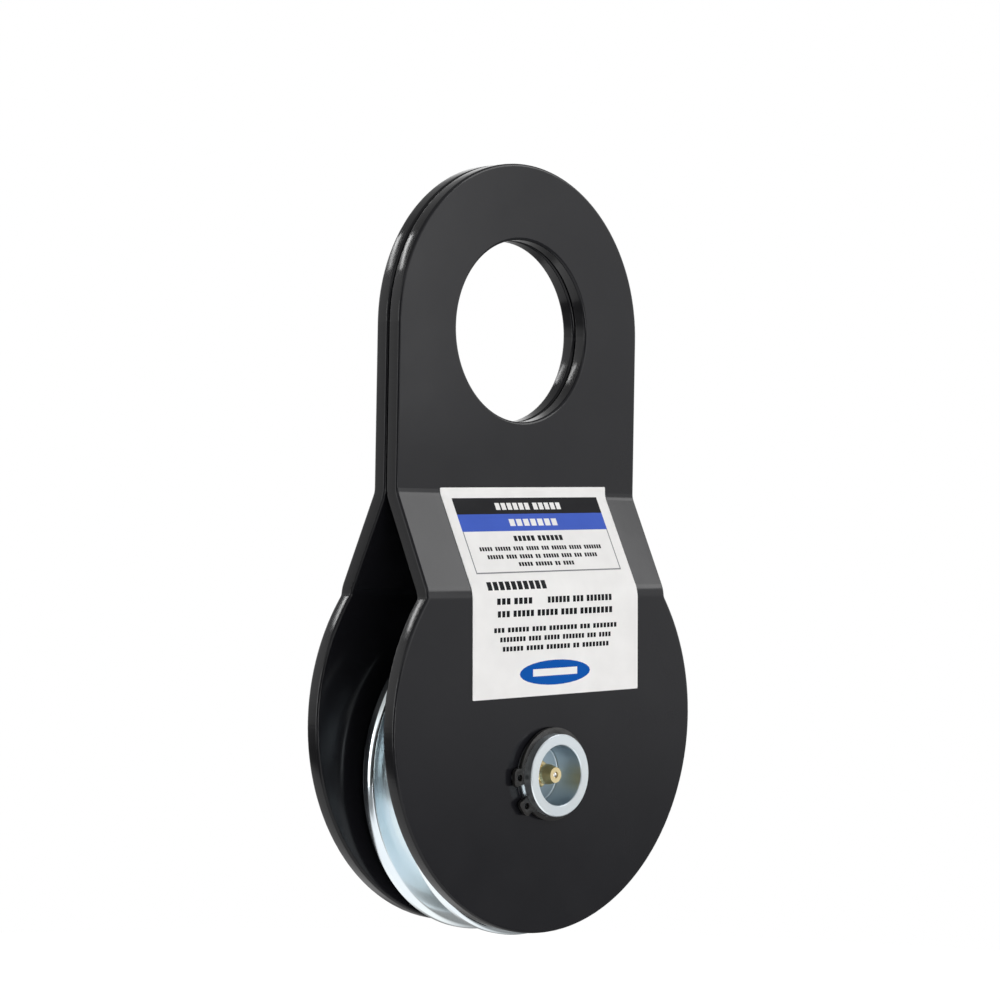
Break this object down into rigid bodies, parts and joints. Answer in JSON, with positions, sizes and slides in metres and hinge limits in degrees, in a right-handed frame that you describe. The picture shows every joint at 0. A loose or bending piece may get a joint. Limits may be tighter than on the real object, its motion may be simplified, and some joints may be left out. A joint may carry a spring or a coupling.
{
  "type": "snatch block",
  "caption": "Swing-cheek snatch block: two joggled steel cheeks with a shackle eye, a grooved sheave on a greased axle held by circlips.",
  "frame": {"origin": "centre of the shackle eye, midway between the two cheeks", "axes": "+Z from the axle up to the eye, -Y out of the front cheek, which carries the label and the grease nipple, +X to the right seen from the front"},
  "size_m": [0.1278, 0.049, 0.2365],
  "materials": {
    "cheek_paint": "glossy black paint over steel plate",
    "label_vinyl": "satin white vinyl with printed bands",
    "zinc_plate": "bright zinc plating with a faint blue cast",
    "black_spring_steel": "black phosphated spring steel",
    "washer_steel": "plain ground steel",
    "bronze": "turned bronze",
    "nipple_brass": "turned brass",
    "bright_steel": "polished steel"
  },
  "bodies": {
    "rear_cheek": {"rear_cheek": "cheek_paint"},
    "front_cheek": {"front_cheek": "cheek_paint", "front_label": "label_vinyl"},
    "axle": {"axle": "zinc_plate", "front_circlip": "black_spring_steel", "rear_circlip": "black_spring_steel", "front_thrust_washer": "washer_steel", "rear_thrust_washer": "washer_steel", "grease_nipple": "nipple_brass", "check_spring": "bright_steel"},
    "sheave": {"sheave": "zinc_plate", "sheave_bush": "bronze"},
    "check_ball": {"check_ball": "bright_steel"}
  },
  "joints": [
    {"name": "axle_turn", "type": "hinge", "parent": "rear_cheek", "child": "axle", "pos_m": [0, 0, -0.1353], "axis": [0, 1, 0], "continuous": true},
    {"name": "front_cheek_swing", "type": "hinge", "parent": "rear_cheek", "child": "front_cheek", "pos_m": [0, 0, -0.1353], "axis": [0, 1, 0], "continuous": true},
    {"name": "sheave_spin", "type": "hinge", "parent": "axle", "child": "sheave", "pos_m": [0, 0, -0.1353], "axis": [0, 1, 0], "continuous": true},
    {"name": "check_ball_press", "type": "slide", "parent": "axle", "child": "check_ball", "axis": [0, 1, 0], "range_m": [0, 0.0008], "stiffness_N_per_m": 500, "springref_m": -0.001, "deforming": ["check_spring"]}
  ]
}
